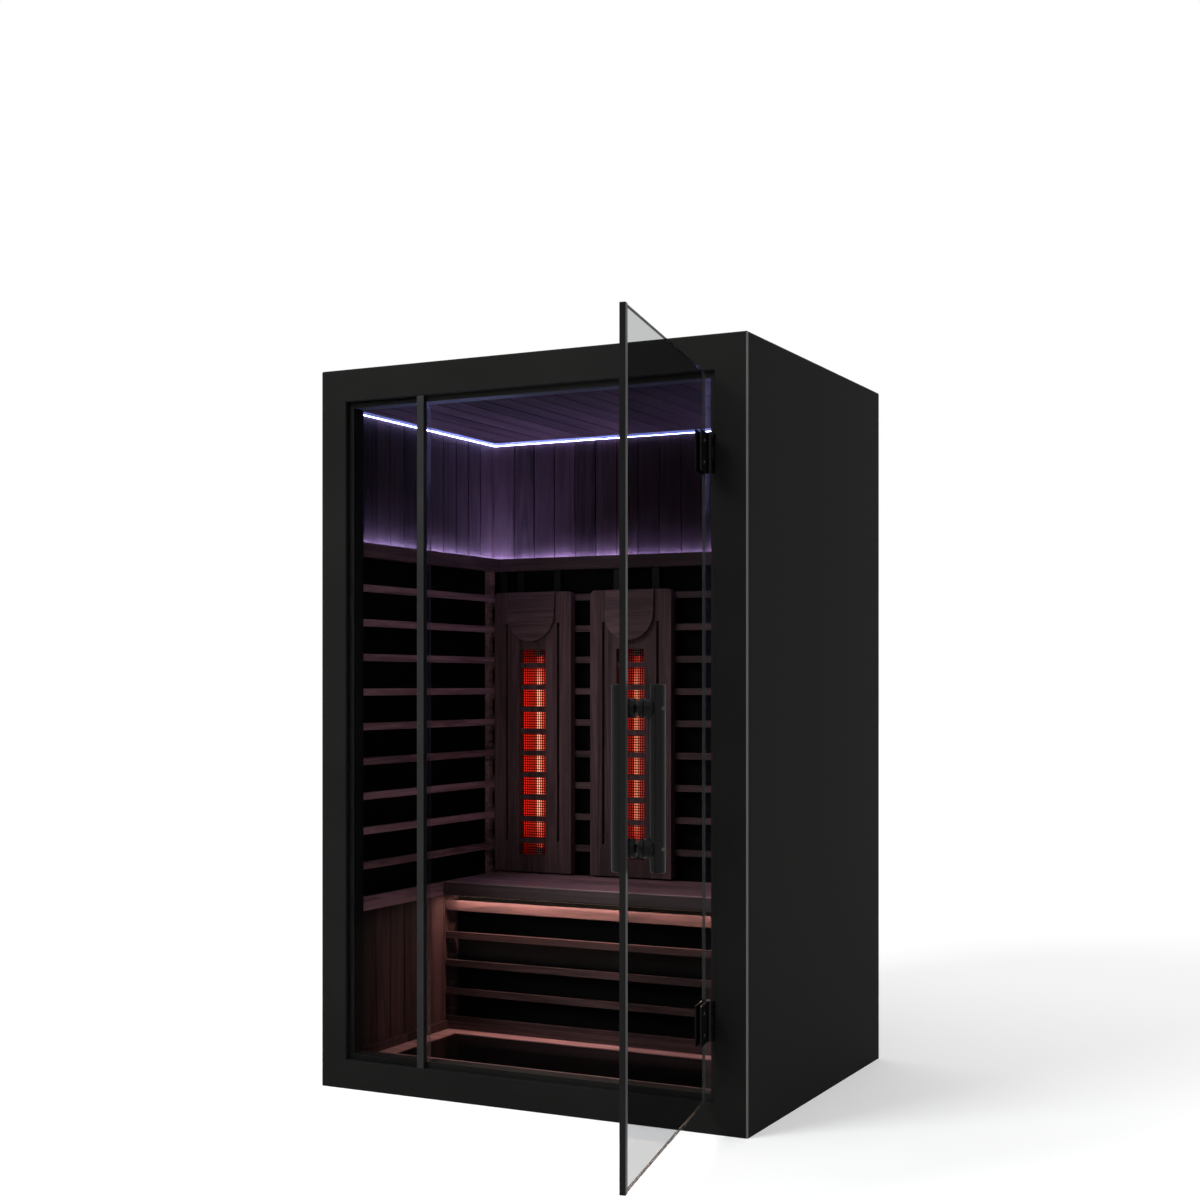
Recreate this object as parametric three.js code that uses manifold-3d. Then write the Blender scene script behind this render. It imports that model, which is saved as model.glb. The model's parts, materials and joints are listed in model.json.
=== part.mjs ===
// Infrared sauna cabin for two people: black casing, glass front with a swinging glass door,
// a boarded room with slatted heaters, a bench, and two backrests with emitters behind them.
// Millimetres, +Z up. The origin lies on the floor under the middle of the cabin; the front faces -Y.
import * as THREE from "three";
import { mergeVertices } from "three/addons/utils/BufferGeometryUtils.js";
import Module from "manifold-3d";

const wasm = await Module();
wasm.setup();

// Casing
const CABIN_WIDTH = 1220;
const CABIN_DEPTH = 1000;
const CABIN_HEIGHT = 1900;
const PANEL = 25; // side, back and roof panels
const EDGE_CHAMFER = 4; // outer edges of the casing
const ROOF_REVEAL = 4; // roof panel lies this far below the rim

// Front frame
const FRAME_DEPTH = 60;
const LEFT_STILE = 79; // from the outer face of the side panel
const RIGHT_STILE = 85;
const TOP_RAIL = 86;
const BOTTOM_RAIL = 76;
const REBATE = 16; // depth of the opening in which the glass stands
const STOP = 15; // width of the stop ring behind the glass
const REVEAL_CHAMFER = 2;

// Base and floor
const BASE_HEIGHT = 40;
const FLOOR_BOARD = 18;
const FLOOR_HEATER = 12; // thickness of the heated floor plate
const FLOOR_HEATER_DROP = 2; // plate lies this far below the boards
const FLOOR_FRONT_BORDER = 140;
const FLOOR_SIDE_BORDER = 62;
const FLOOR_BACK_BORDER = 48;

// Lining of the room
const LINING = 15; // wall boards and panel heaters
const BOARD_PITCH = 70;
const GROOVE_WIDTH = 5;
const GROOVE_DEPTH = 4;
const SKIRTING_HEIGHT = 24;
const SKIRTING_DEPTH = 10;
const SERVICE_SPACE = 115; // between the back lining and the back panel
const ROOF_SPACE = 53; // between the ceiling boards and the roof panel
const CEILING_BOARD = 14;
const CEILING_BORDER = 45; // plain boards along the walls
const CEILING_LIGHT = 8; // square section of the light strip in the corner

// Guards of slats in front of the panel heaters
const GUARD_DEPTH = 35;
const GUARD_FRONT_GAP = 20; // from the front frame to the ends of the side guards
const SLAT_THICKNESS = 14;
const SLAT_HEIGHT = 19;
const WALL_SLATS = 9;
const LOWER_RAIL = 37;
const RIB_WIDTH = 22;
const SCALLOP_DEPTH = 9;
const RIB_SEAT = 1; // ribs are let into the slats

// Ledge above the slats
const LEDGE_TOP = 1450;
const LEDGE_HEIGHT = 38;
const LEDGE_SHELF = 24; // thickness of the shelf under the light strip
const LEDGE_LIP = 12;
const LEDGE_LIGHT_WIDTH = 12;
const LEDGE_LIGHT_HEIGHT = 6;

// Bench
const SEAT_TOP = 498;
const SEAT_THICKNESS = 40;
const SEAT_DEPTH = 320;
const SEAT_NOSING = 5;
const SEAT_SIDE_GAP = 1;
const KNEE_SETBACK = 70; // from the edge of the seat back to the slats below it
const BENCH_TOP_RAIL = 29;
const BENCH_BOTTOM_RAIL = 38;
const BENCH_SLATS = 3;
const BENCH_RAIL_DROP = 23; // from the seat down to the top rail of the guard
const BENCH_HEATER = 12;
const BENCH_LIGHT_INSET = 46;
const BENCH_LIGHT_WIDTH = 12;
const BENCH_LIGHT_HEIGHT = 6;
const BEARER_HEIGHT = 40;
const BEARER_WIDTH = 25;

// Backrests
const BACKREST_WIDTH = 262;
const BACKREST_THICKNESS = 28;
const BACKREST_TOP = 1345;
const BACKREST_RISE = 6; // from the seat to the backrest
const BACKREST_SIDE_GAP = 2;
const BACKREST_SPACING = 327; // between the middles of the two backrests
const BACKREST_CORNER = 15;
const WINDOW_WIDTH = 90;
const WINDOW_SILL = 51; // height of the block below the window
const WINDOW_HEAD = 173; // height of the board above the window
const SLOT_OFFSET = 88; // routed slots left and right of the middle
const SLOT_WIDTH = 8;
const SLOT_LOWER = 92; // from the lower end of the backrest to the slot
const SLOT_UPPER = 92;
const RUNG_HEIGHT = 16;
const RUNG_THICKNESS = 12;
const RUNG_RECESS = 8;
const RUNG_PITCH = 66;
const RUNG_START = 34; // from the window's lower edge to the first rung
const RUNG_COUNT = 9;
const HEADREST_WIDTH = 157;
const HEADREST_LENGTH = 148;
const HEADREST_TOP_DEPTH = 6;
const HEADREST_LOW_DEPTH = 18;

// Emitters behind the backrest windows
const TRAY_WALL = 3;
const TRAY_WIDTH = 104;
const TRAY_OVERLAP = 8; // reaches past the window above and below
const TRAY_SETBACK = 2; // from the back of the backrest
const TUBE_RADIUS = 8;
const GRILLE = 1.5;
const GRILLE_COLUMNS = 4;
const GRILLE_ROWS = 20;
const GRILLE_WIRE = 3;

// Glass, mullion and seals
const GLASS = 8;
const FIXED_PANE_WIDTH = 222; // visible width beside the mullion
const MULLION_WIDTH = 20;
const MULLION_COVER = 10; // mullion laps over the edge of the fixed pane
const SEAL_THICKNESS = 2;
const SEAL_OVERHANG = 11;
const HINGE_SEAL_WIDTH = 18;
const HINGE_SEAL_SETBACK = 4;

// Door
const OPEN_ANGLE = 102; // degrees, door as it stands
const PIN_TO_STILE = 11; // pin axis from the reveal of the right stile
const PIN_PROUD = 4; // pin axis in front of the frame
const PIN_TO_GLASS = 8; // pin axis to the edge and to the outer face of the glass
const DOOR_TOP_GAP = 6;
const DOOR_BOTTOM_GAP = 4;
const DOOR_LATCH_GAP = 3;
const EDGE_PROFILE_WIDTH = 16;
const EDGE_PROFILE_WALL = 3;
const EDGE_PROFILE_CHEEK = 2;

// Hinges
const HINGE_HEIGHT = 96;
const HINGE_BELOW_HEAD = 198; // middle of the upper hinge below the top of the opening
const HINGE_ABOVE_SILL = 193; // middle of the lower hinge above the foot of the opening
const CLAMP_LENGTH = 66;
const CLAMP_CHEEK = 4;
const KNUCKLE_RADIUS = 7;
const PIN_RADIUS = 3.5;
const PIN_HEAD_RADIUS = 5.5;
const PIN_HEAD = 2;
const LEAF_THICKNESS = 3;

// Bar handles
const HANDLE_LENGTH = 378;
const HANDLE_MIDDLE = 880;
const HANDLE_RADIUS = 16;
const HANDLE_TO_GLASS = 36; // bar axis from the face of the glass
const HANDLE_TO_EDGE = 130; // bar axis from the free edge of the door
const HANDLE_END_CHAMFER = 2;
const STANDOFF_SPACING = 281;
const STANDOFF_RADIUS = 20;
const STANDOFF_FLANGE = 9;
const STANDOFF_NECK = 17; // radius of the turned groove behind the flange
const STANDOFF_NECK_WIDTH = 3;
const BOLT_RADIUS = 5;
const BOLT_GRIP = 14; // depth of the thread in each standoff
const GLASS_BORE = 8;

// Power supply
const POWER_UNIT_WIDTH = 320;
const POWER_UNIT_DEPTH = 220;
const POWER_UNIT_HEIGHT = 44;
const POWER_UNIT_FLANGE = 14;
const POWER_UNIT_FLANGE_THICKNESS = 3;
const INLET_WIDTH = 48;
const INLET_DEPTH = 28;
const INLET_BODY = 40;
const INLET_FLANGE = 8;
const INLET_FLANGE_THICKNESS = 3;
const INLET_SOCKET_DEPTH = 16;
const INLET_WALL = 5;
const INLET_FROM_BACK = 120;

// Clearances
const FIT = 0.3; // between pieces that slide or turn, or that are cut to each other
const PANE_GAP = 1; // glass edge to frame
const KNUCKLE_GAP = 0.5; // between neighbouring knuckles
const OVERLAP = 1; // pieces glued into one run into each other by this much

// Facets of curved edges
const ROUND_SEGMENTS = 24;
const CURVE_SEGMENTS = 8;
const SCALLOP_SEGMENTS = 3;
const NOSING_SEGMENTS = 4;
const CORNER_SEGMENTS = 5;
const HEADREST_SEGMENTS = 20;

// Derived planes of the cabin
const halfWidth = CABIN_WIDTH / 2;
const front = -CABIN_DEPTH / 2;
const back = CABIN_DEPTH / 2;
const panelX = halfWidth - PANEL;
const liningX = panelX - LINING;
const guardX = liningX - GUARD_DEPTH;
const frameBack = front + FRAME_DEPTH;
const stopFace = front + REBATE;
const panelBack = back - PANEL;
const liningRear = panelBack - SERVICE_SPACE;
const liningBack = liningRear - LINING;
const guardBack = liningBack - GUARD_DEPTH;
const floorTop = BASE_HEIGHT + FLOOR_BOARD;
const roofUnder = CABIN_HEIGHT - PANEL;
const ceilingTop = roofUnder - ROOF_SPACE;
const ceilingUnder = ceilingTop - CEILING_BOARD;
const seatUnder = SEAT_TOP - SEAT_THICKNESS;
const ledgeUnder = LEDGE_TOP - LEDGE_HEIGHT;
const seatFront = guardBack - SEAT_DEPTH;
const benchGuardFront = seatFront + KNEE_SETBACK;
const benchGuardRear = benchGuardFront + GUARD_DEPTH;
const opening = {
  left: -halfWidth + LEFT_STILE,
  right: halfWidth - RIGHT_STILE,
  low: BOTTOM_RAIL,
  high: CABIN_HEIGHT - TOP_RAIL,
};
const mullionLeft = opening.left + FIXED_PANE_WIDTH;
const mullionRight = mullionLeft + MULLION_WIDTH;

// Solids

function solid(geometry) {
  const bare = geometry.clone();
  bare.deleteAttribute("normal");
  bare.deleteAttribute("uv");
  const welded = mergeVertices(bare);
  return new wasm.Manifold(
    new wasm.Mesh({
      numProp: 3,
      vertProperties: Float32Array.from(welded.attributes.position.array),
      triVerts: Uint32Array.from(welded.index.array),
    }),
  );
}

function moveVertices(geometry, place) {
  const position = geometry.attributes.position;
  for (let i = 0; i < position.count; i += 1) {
    const [x, y, z] = place(position.getX(i), position.getY(i), position.getZ(i));
    position.setXYZ(i, x, y, z);
  }
  return geometry;
}

// A rectangular block between two corners, each face exactly on the given plane.
function block(x0, x1, y0, y1, z0, z1) {
  const cube = new THREE.BoxGeometry(1, 1, 1);
  const place = (x, y, z) => [x < 0 ? x0 : x1, y < 0 ? y0 : y1, z < 0 ? z0 : z1];
  return solid(moveVertices(cube, place));
}

// A block whose faces are given as one range across a wall and one along it.
function wallBlock(axis, across, along, z0, z1) {
  const [c0, c1] = [Math.min(...across), Math.max(...across)];
  const [a0, a1] = along;
  return axis === "x" ? block(c0, c1, a0, a1, z0, z1) : block(a0, a1, c0, c1, z0, z1);
}

function outline(points) {
  return new THREE.Shape(points.map(([a, b]) => new THREE.Vector2(a, b)));
}

// Extrudes a shape along X (drawn in y, z), along Y (drawn in x, z) or along Z (drawn in x, y).
function prism(shape, axis, from, to, curveSegments = CURVE_SEGMENTS) {
  const geometry = new THREE.ExtrudeGeometry(shape, { depth: 1, bevelEnabled: false, curveSegments });
  if (axis === "x") {
    const turn = [new THREE.Vector3(0, 1, 0), new THREE.Vector3(0, 0, 1), new THREE.Vector3(1, 0, 0)];
    geometry.applyMatrix4(new THREE.Matrix4().makeBasis(...turn));
    moveVertices(geometry, (x, y, z) => [x < 0.5 ? from : to, y, z]);
  } else if (axis === "y") {
    const turn = [new THREE.Vector3(1, 0, 0), new THREE.Vector3(0, 0, 1), new THREE.Vector3(0, -1, 0)];
    geometry.applyMatrix4(new THREE.Matrix4().makeBasis(...turn));
    moveVertices(geometry, (x, y, z) => [x, y < -0.5 ? from : to, z]);
  } else {
    moveVertices(geometry, (x, y, z) => [x, y, z < 0.5 ? from : to]);
  }
  return solid(geometry);
}

// A turned piece about an axis through the given point; the profile holds [radius, height] pairs.
function turned(profile, axis, at) {
  const points = profile.map(([radius, height]) => new THREE.Vector2(radius, height));
  const geometry = new THREE.LatheGeometry(points, ROUND_SEGMENTS);
  if (axis === "z") {
    geometry.rotateX(Math.PI / 2);
  }
  geometry.translate(...at);
  return solid(geometry);
}

function rod(radius, axis, at, from, to) {
  const profile = [[0, from], [radius, from], [radius, to], [0, to]];
  return turned(profile, axis, at);
}

function join(solids) {
  return solids.reduce((all, next) => all.add(next));
}

function cut(body, tools) {
  return tools.reduce((left, tool) => left.subtract(tool), body);
}

// A rectangle whose corners may be cut by a chamfer: [low-low, high-low, high-high, low-high].
function chamferedOutline(a0, a1, b0, b1, chamfers) {
  const [c0, c1, c2, c3] = chamfers;
  const points = [
    [a0, b0 + c0], [a0 + c0, b0], [a1 - c1, b0], [a1, b0 + c1],
    [a1, b1 - c2], [a1 - c2, b1], [a0 + c3, b1], [a0, b1 - c3],
  ];
  const distinct = points.filter(([a, b], i) => {
    const [pa, pb] = points[(i + 7) % 8];
    return a !== pa || b !== pb;
  });
  return outline(distinct);
}

// Materials

function finish(color, roughness, metalness = 0) {
  return new THREE.MeshStandardMaterial({ color, roughness, metalness });
}

const blackPanel = () => finish(0x1f1f1f, 0.55);
const blackMetal = () => finish(0x141414, 0.4, 0.6);
const darkTimber = () => finish(0x4a3034, 0.6);
const blackHeater = () => finish(0x080808, 0.5);
const clearGlass = () => {
  const material = finish(0x9fb0b4, 0.05);
  material.transparent = true;
  material.opacity = 0.25;
  return material;
};
const clearSeal = () => finish(0xb8bcc0, 0.3);
const coolLight = () => finish(0xc9c4ff, 0.4);
const warmLight = () => finish(0xffb489, 0.4);

const cabin = new THREE.Group();

function addPiece(group, name, body, material) {
  const { vertProperties, triVerts } = body.getMesh();
  const geometry = new THREE.BufferGeometry();
  geometry.setAttribute("position", new THREE.BufferAttribute(Float32Array.from(vertProperties), 3));
  geometry.setIndex(new THREE.BufferAttribute(Uint32Array.from(triVerts), 1));
  geometry.computeVertexNormals();
  const mesh = new THREE.Mesh(geometry, material);
  mesh.name = name;
  group.add(mesh);
}

// Casing

function sidePanel(side) {
  const [x0, x1] = side < 0 ? [-halfWidth, -panelX] : [panelX, halfWidth];
  const c = EDGE_CHAMFER;
  const planChamfers = side < 0 ? [c, 0, 0, c] : [0, c, c, 0];
  const faceChamfers = side < 0 ? [0, 0, 0, c] : [0, 0, c, 0];
  const plan = prism(chamferedOutline(x0, x1, front, back, planChamfers), "z", 0, CABIN_HEIGHT);
  const face = prism(chamferedOutline(x0, x1, 0, CABIN_HEIGHT, faceChamfers), "y", front, back);
  const flank = prism(chamferedOutline(front, back, 0, CABIN_HEIGHT, [0, 0, c, c]), "x", x0, x1);
  return plan.intersect(face).intersect(flank);
}

function backPanel() {
  const section = chamferedOutline(panelBack, back, 0, CABIN_HEIGHT, [0, 0, EDGE_CHAMFER, 0]);
  return prism(section, "x", -panelX, panelX);
}

// A tapering opening, wider at the front face, that breaks the edges of the reveal.
function revealChamfer() {
  const cube = new THREE.BoxGeometry(1, 1, 1);
  const place = (x, y, z) => {
    const grow = y < 0 ? 2 * REVEAL_CHAMFER : 0;
    const shift = y < 0 ? front - REVEAL_CHAMFER : front + REVEAL_CHAMFER;
    return [
      x < 0 ? opening.left - grow : opening.right + grow,
      shift,
      z < 0 ? opening.low - grow : opening.high + grow,
    ];
  };
  return solid(moveVertices(cube, place));
}

function frontFrame() {
  const section = chamferedOutline(front, frameBack, 0, CABIN_HEIGHT, [0, 0, 0, EDGE_CHAMFER]);
  const { left, right, low, high } = opening;
  const glassSpace = block(left, right, front - FRAME_DEPTH, stopFace, low, high);
  const wayThrough = block(left + STOP, right - STOP, front, back, low + STOP, high - STOP);
  return cut(prism(section, "x", -panelX, panelX), [glassSpace, wayThrough, revealChamfer()]);
}

const inletY = panelBack - INLET_FROM_BACK;
const roofTop = CABIN_HEIGHT - ROOF_REVEAL;

function roofPanel() {
  const hole = block(
    -INLET_WIDTH / 2 - FIT, INLET_WIDTH / 2 + FIT,
    inletY - INLET_DEPTH / 2 - FIT, inletY + INLET_DEPTH / 2 + FIT,
    roofUnder - PANEL, CABIN_HEIGHT,
  );
  return cut(block(-panelX, panelX, frameBack, panelBack, roofUnder, roofTop), [hole]);
}

function mainsInlet() {
  const [w, d] = [INLET_WIDTH / 2, INLET_DEPTH / 2];
  const flangeTop = roofTop + INLET_FLANGE_THICKNESS;
  const body = block(-w, w, inletY - d, inletY + d, flangeTop - INLET_BODY, flangeTop);
  const flange = block(
    -w - INLET_FLANGE, w + INLET_FLANGE,
    inletY - d - INLET_FLANGE, inletY + d + INLET_FLANGE,
    roofTop, flangeTop,
  );
  const socket = block(
    -w + INLET_WALL, w - INLET_WALL,
    inletY - d + INLET_WALL, inletY + d - INLET_WALL,
    flangeTop - INLET_SOCKET_DEPTH, flangeTop + INLET_SOCKET_DEPTH,
  );
  return cut(body.add(flange), [socket]);
}

function powerUnit() {
  const [w, d] = [POWER_UNIT_WIDTH / 2, POWER_UNIT_DEPTH / 2];
  const f = POWER_UNIT_FLANGE;
  const housing = block(-w, w, -d, d, ceilingTop, ceilingTop + POWER_UNIT_HEIGHT);
  const feet = block(-w - f, w + f, -d, d, ceilingTop, ceilingTop + POWER_UNIT_FLANGE_THICKNESS);
  return housing.add(feet);
}

addPiece(cabin, "left_wall", sidePanel(-1), blackPanel());
addPiece(cabin, "right_wall", sidePanel(1), blackPanel());
addPiece(cabin, "back_wall", backPanel(), blackPanel());
addPiece(cabin, "front_frame", frontFrame(), blackPanel());
addPiece(cabin, "roof_panel", roofPanel(), blackPanel());
addPiece(cabin, "mains_inlet", mainsInlet(), blackMetal());
addPiece(cabin, "power_unit", powerUnit(), blackMetal());

// Base and floor

const heaterPlate = {
  x: liningX - FLOOR_SIDE_BORDER,
  y0: frameBack + FLOOR_FRONT_BORDER,
  y1: benchGuardFront - FLOOR_BACK_BORDER,
  top: floorTop - FLOOR_HEATER_DROP,
};

function floorBoards() {
  const { x, y0, y1, top } = heaterPlate;
  const field = block(-panelX, panelX, frameBack, panelBack, BASE_HEIGHT, floorTop);
  const bed = block(-x, x, y0, y1, top - FLOOR_HEATER, floorTop + FLOOR_BOARD);
  return cut(field, [bed]);
}

function floorHeater() {
  const { x, y0, y1, top } = heaterPlate;
  return block(-x + FIT, x - FIT, y0 + FIT, y1 - FIT, top - FLOOR_HEATER, top);
}

addPiece(cabin, "base", block(-panelX, panelX, frameBack, panelBack, 0, BASE_HEIGHT), blackPanel());
addPiece(cabin, "floor_boards", floorBoards(), darkTimber());
addPiece(cabin, "floor_heater", floorHeater(), finish(0x050505, 0.12));

// Lining boards

// Upright boards in one field; V grooves show where one board meets the next.
function boarding(axis, face, rear, along, z0, z1) {
  const inward = Math.sign(rear - face);
  const [a0, a1] = along;
  const points = [[rear, a0], [face, a0]];
  for (let a = a0 + BOARD_PITCH; a < a1 - GROOVE_WIDTH; a += BOARD_PITCH) {
    const [low, high] = [a - GROOVE_WIDTH / 2, a + GROOVE_WIDTH / 2];
    points.push([face, low], [face + inward * GROOVE_DEPTH, a], [face, high]);
  }
  points.push([face, a1], [rear, a1]);
  const plan = axis === "x" ? points : points.map(([c, a]) => [a, c]);
  return prism(outline(plan), "z", z0, z1);
}

function lowerBoards(side) {
  const along = [frameBack, liningRear];
  const boards = boarding("x", side * liningX, side * panelX, along, floorTop, seatUnder);
  const skirtingFace = side * (liningX - SKIRTING_DEPTH);
  const skirtingRear = side * (liningX + GROOVE_DEPTH + OVERLAP);
  const skirtingRun = [frameBack, benchGuardFront];
  const skirtingTop = floorTop + SKIRTING_HEIGHT;
  return boards.add(wallBlock("x", [skirtingFace, skirtingRear], skirtingRun, floorTop, skirtingTop));
}

function ceilingBoards() {
  const field = block(-panelX, panelX, frameBack, panelBack, ceilingUnder, ceilingTop);
  const vee = [[-GROOVE_WIDTH / 2, 0], [GROOVE_WIDTH / 2, 0], [0, GROOVE_DEPTH]];
  const borderX = liningX - CEILING_BORDER;
  const borderY = liningBack - CEILING_BORDER;
  const grooveAt = (x) => {
    const shape = outline(vee.map(([a, b]) => [x + a, ceilingUnder + b]));
    return prism(shape, "y", frameBack - PANEL, borderY);
  };
  const grooves = [];
  for (let x = -borderX; x < borderX - GROOVE_WIDTH; x += BOARD_PITCH) {
    grooves.push(grooveAt(x));
  }
  grooves.push(grooveAt(borderX));
  const crossing = outline(vee.map(([a, b]) => [borderY + a, ceilingUnder + b]));
  grooves.push(prism(crossing, "x", -borderX, borderX));
  return cut(field, grooves);
}

for (const [name, side] of [["left", -1], ["right", 1]]) {
  const face = side * liningX;
  const rear = side * panelX;
  const along = [frameBack, liningRear];
  const upperBoards = boarding("x", face, rear, along, ledgeUnder, ceilingUnder);
  const heater = wallBlock("x", [face, rear], along, seatUnder, ledgeUnder);
  addPiece(cabin, `${name}_upper_boards`, upperBoards, darkTimber());
  addPiece(cabin, `${name}_lower_boards`, lowerBoards(side), darkTimber());
  addPiece(cabin, `${name}_heater`, heater, blackHeater());
}
const backRun = [-liningX, liningX];
const backBoards = boarding("y", liningBack, liningRear, backRun, ledgeUnder, ceilingUnder);
addPiece(cabin, "back_upper_boards", backBoards, darkTimber());
const backHeater = wallBlock("y", [liningBack, liningRear], backRun, seatUnder, ledgeUnder);
addPiece(cabin, "back_heater", backHeater, blackHeater());
addPiece(cabin, "ceiling_boards", ceilingBoards(), darkTimber());

// Heater guards: slats in front, upright ribs behind, the ribs hollowed between the slats

// The heights at which slats stand, evenly spread between two rails.
function slatHeights(low, high, count, height) {
  const gap = (high - low - count * height) / (count + 1);
  return Array.from({ length: count }, (_, i) => low + gap + i * (height + gap));
}

function ribShape(frontFace, rear, z0, z1, solidBands) {
  const inward = Math.sign(rear - frontFace);
  const shape = new THREE.Shape();
  shape.moveTo(rear, z0);
  shape.lineTo(frontFace, z0);
  solidBands.slice(1).forEach(([low], i) => {
    const from = solidBands[i][1];
    shape.lineTo(frontFace, from);
    const hollow = frontFace + inward * 2 * SCALLOP_DEPTH;
    shape.quadraticCurveTo(hollow, (from + low) / 2, frontFace, low);
  });
  shape.lineTo(frontFace, z1);
  shape.lineTo(rear, z1);
  return shape;
}

function guard({ axis, face, rear, along, z0, z1, rails, slats, ribs, windows = [] }) {
  const inward = Math.sign(rear - face);
  const slatRear = face + inward * SLAT_THICKNESS;
  const ribFace = slatRear - inward * RIB_SEAT;
  const bands = [...rails, ...slats].sort((p, q) => p[0] - q[0]);
  const bars = bands.map(([low, high]) => wallBlock(axis, [face, slatRear], along, low, high));
  const gaps = windows.map(([a0, a1, low, high]) => wallBlock(axis, [face, slatRear], [a0, a1], low, high));
  const shape = ribShape(ribFace, rear, z0, z1, bands);
  const across = axis === "x" ? "y" : "x";
  const posts = ribs.map((a) => prism(shape, across, a, a + RIB_WIDTH, SCALLOP_SEGMENTS));
  return join([cut(join(bars), gaps), ...posts]);
}

const lowerRailTop = seatUnder + LOWER_RAIL;
const wallSlatFeet = slatHeights(lowerRailTop, ledgeUnder, WALL_SLATS, SLAT_HEIGHT);
const wallSlats = wallSlatFeet.map((z) => [z, z + SLAT_HEIGHT]);
const wallGuard = { z0: seatUnder, z1: ledgeUnder, rails: [[seatUnder, lowerRailTop]], slats: wallSlats };

const sideRun = [frameBack + GUARD_FRONT_GAP, guardBack];
for (const [name, side] of [["left", -1], ["right", 1]]) {
  const ribs = [sideRun[0], sideRun[1] - RIB_WIDTH];
  const wall = { axis: "x", face: side * guardX, rear: side * liningX, along: sideRun, ribs };
  addPiece(cabin, `${name}_guard`, guard({ ...wallGuard, ...wall }), darkTimber());
}

const firstBackrest = -guardX + BACKREST_SIDE_GAP + BACKREST_WIDTH / 2;
const backrests = [["left", firstBackrest], ["right", firstBackrest + BACKREST_SPACING]];
const traySpace = TRAY_WIDTH / 2 + FIT;
const backrestLow = SEAT_TOP + BACKREST_RISE;
const backrestFace = guardBack - BACKREST_THICKNESS;
const windowLow = backrestLow + WINDOW_SILL;
const windowHigh = BACKREST_TOP - WINDOW_HEAD;
const tray = {
  front: guardBack + TRAY_SETBACK,
  rear: liningBack,
  low: windowLow - TRAY_OVERLAP,
  high: windowHigh + TRAY_OVERLAP,
};

function backGuard() {
  const ribs = [-guardX, guardX - RIB_WIDTH];
  const windows = [];
  for (const [, x] of backrests) {
    ribs.push(x - traySpace - RIB_WIDTH, x + traySpace);
    windows.push([x - traySpace, x + traySpace, tray.low - FIT, tray.high + FIT]);
  }
  const wall = { axis: "y", face: guardBack, rear: liningBack, along: [-guardX, guardX], ribs, windows };
  return guard({ ...wallGuard, ...wall });
}

addPiece(cabin, "back_guard", backGuard(), darkTimber());

function benchGuard() {
  const bottomRail = [floorTop, floorTop + BENCH_BOTTOM_RAIL];
  const topRailHigh = seatUnder - BENCH_RAIL_DROP;
  const topRail = [topRailHigh - BENCH_TOP_RAIL, topRailHigh];
  const slats = slatHeights(bottomRail[1], topRail[0], BENCH_SLATS, SLAT_HEIGHT);
  return guard({
    axis: "y",
    face: benchGuardFront,
    rear: benchGuardRear,
    along: [-liningX, liningX],
    z0: floorTop,
    z1: seatUnder,
    rails: [bottomRail, topRail],
    slats: slats.map((z) => [z, z + SLAT_HEIGHT]),
    ribs: [-liningX, liningX - RIB_WIDTH],
  });
}

addPiece(cabin, "bench_guard", benchGuard(), darkTimber());
const calfHeaterRear = benchGuardRear + BENCH_HEATER;
const calfHeater = block(-liningX, liningX, benchGuardRear, calfHeaterRear, floorTop, seatUnder);
addPiece(cabin, "bench_heater", calfHeater, blackHeater());

// Ledge rails with a light strip lying behind their lip, mitred in the back corners

function strip(from, to, z0, z1, ends) {
  const [a, b] = ends;
  return prism(outline([[from, a[0]], [to, a[1]], [to, b[1]], [from, b[0]]]), "z", z0, z1);
}

function sideLedge(side) {
  const face = side * guardX;
  const wall = side * liningX;
  const lipRear = side * (guardX + LEDGE_LIP);
  const start = [frameBack, frameBack];
  const shelfTop = ledgeUnder + LEDGE_SHELF;
  const shelf = strip(wall, face, ledgeUnder, shelfTop, [start, [liningBack, guardBack]]);
  const lip = strip(lipRear, face, ledgeUnder, LEDGE_TOP, [start, [guardBack + LEDGE_LIP, guardBack]]);
  return shelf.add(lip);
}

function backLedge() {
  const shelfTop = ledgeUnder + LEDGE_SHELF;
  const mitre = FIT * Math.SQRT2;
  const plan = (rear) => {
    const reach = guardX + rear - guardBack - mitre;
    const near = guardX - mitre;
    return outline([[-reach, rear], [-near, guardBack], [near, guardBack], [reach, rear]]);
  };
  const shelf = prism(plan(liningBack), "z", ledgeUnder, shelfTop);
  const lip = prism(plan(guardBack + LEDGE_LIP), "z", ledgeUnder, LEDGE_TOP);
  return shelf.add(lip);
}

// A strip that runs along the left, back and right walls in one piece.
function wallStrip(outer, rear, width, z0, z1) {
  const inner = outer - width;
  const frontEnd = frameBack + GUARD_FRONT_GAP;
  const plan = [
    [-outer, frontEnd], [-inner, frontEnd], [-inner, rear - width], [inner, rear - width],
    [inner, frontEnd], [outer, frontEnd], [outer, rear], [-outer, rear],
  ];
  return prism(outline(plan), "z", z0, z1);
}

addPiece(cabin, "left_ledge", sideLedge(-1), darkTimber());
addPiece(cabin, "right_ledge", sideLedge(1), darkTimber());
addPiece(cabin, "back_ledge", backLedge(), darkTimber());
const ledgeLightBase = ledgeUnder + LEDGE_SHELF;
const ledgeLightTop = ledgeLightBase + LEDGE_LIGHT_HEIGHT;
const ledgeLight = wallStrip(liningX, liningBack, LEDGE_LIGHT_WIDTH, ledgeLightBase, ledgeLightTop);
addPiece(cabin, "ledge_light", ledgeLight, coolLight());
const ceilingLightLow = ceilingUnder - CEILING_LIGHT;
const ceilingLight = wallStrip(liningX, liningBack, CEILING_LIGHT, ceilingLightLow, ceilingUnder);
addPiece(cabin, "ceiling_light", ceilingLight, coolLight());

// Bench

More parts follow.
